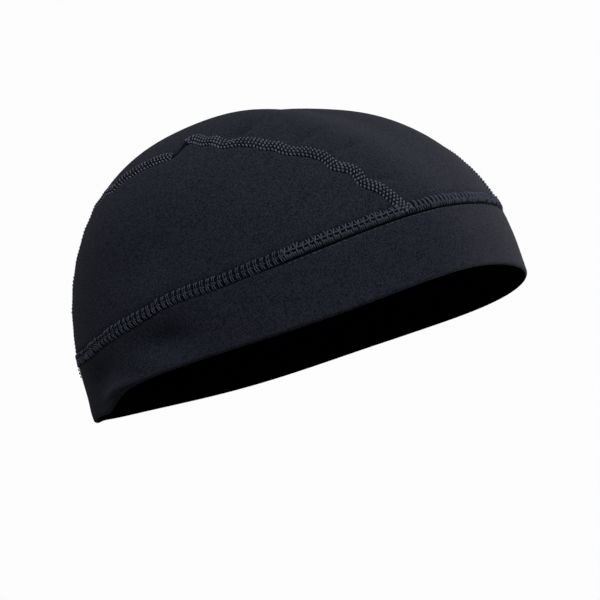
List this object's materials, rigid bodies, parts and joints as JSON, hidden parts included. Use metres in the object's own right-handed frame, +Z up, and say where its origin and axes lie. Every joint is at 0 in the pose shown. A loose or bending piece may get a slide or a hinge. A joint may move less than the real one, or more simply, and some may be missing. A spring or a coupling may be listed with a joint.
{
  "type": "helmet liner cap",
  "caption": "Close-fitting stretch jersey skull cap with a wide doubled band, a centre crown panel, side panels and flat raised seams, shown filled out as worn.",
  "frame": {"origin": "middle of the head opening, level with the rim", "axes": "+X towards the wearer's front, +Y towards the wearer's left, +Z up through the crown"},
  "size_m": [0.2, 0.1628, 0.1085],
  "materials": {
    "cloth": "matt fine-grained stretch jersey, black with a little blue, faint soft sheen",
    "thread": "flat seam covered in rows of polyester thread, a shade lighter than the cloth"
  },
  "bodies": {
    "root": {"band": "cloth", "band_seam": "thread", "centre_panel": "cloth", "side_panel_right": "cloth", "side_panel_left": "cloth", "crown_seam_right": "thread", "crown_seam_left": "thread"}
  },
  "joints": []
}
